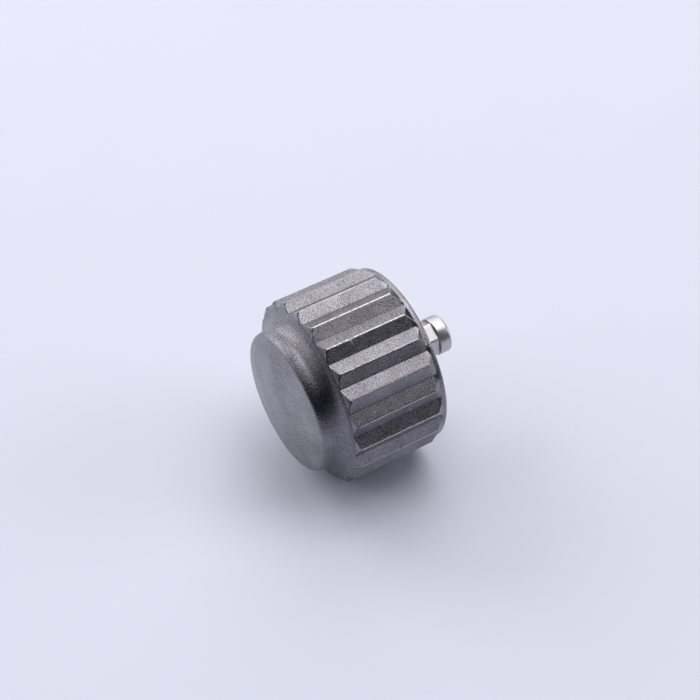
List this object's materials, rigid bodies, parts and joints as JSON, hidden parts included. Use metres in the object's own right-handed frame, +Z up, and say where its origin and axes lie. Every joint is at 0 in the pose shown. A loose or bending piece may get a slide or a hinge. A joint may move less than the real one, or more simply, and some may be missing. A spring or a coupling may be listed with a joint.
{
  "type": "watch crown",
  "caption": "Fluted, domed screw-down watch crown with a threaded sleeve, sealed barrel and a sprung six-sided post that takes the winding stem.",
  "frame": {"origin": "on the crown's axis, in the plane of the head's rear seat, where the case tube enters", "axes": "+Y along the axis, out of the rear with the stem post; -Y is the domed face; +Z is up as the crown lies on its flutes, with a flute valley straight down"},
  "size_m": [0.007, 0.0068, 0.007],
  "materials": {
    "head_steel": "fine bead-blasted steel, bright where the flute tips are worn",
    "post_steel": "polished, turned",
    "inner_steel": "fine turned",
    "spring_steel": "drawn wire",
    "seal_rubber": "smooth moulded",
    "washer_polymer": "natural"
  },
  "bodies": {
    "head": {"crown_head": "head_steel", "thread_sleeve": "inner_steel", "centre_barrel": "inner_steel", "hex_guide_bush": "inner_steel", "bush_retaining_clip": "spring_steel", "stop_washer": "washer_polymer", "return_spring": "spring_steel", "spring_seat_washer": "inner_steel", "inner_o_ring": "seal_rubber", "outer_o_ring": "seal_rubber", "o_ring_spacer": "inner_steel", "o_ring_retainer": "inner_steel", "seat_gasket": "seal_rubber", "gasket_pressure_washer": "inner_steel"},
    "post": {"stem_post": "post_steel", "post_piston": "inner_steel"}
  },
  "joints": [
    {"name": "post_slide", "type": "slide", "parent": "head", "child": "post", "axis": [0, -1, 0], "range_m": [0, 0.00115], "stiffness_N_per_m": 780, "springref_m": -0.001, "deforming": ["return_spring"]}
  ]
}
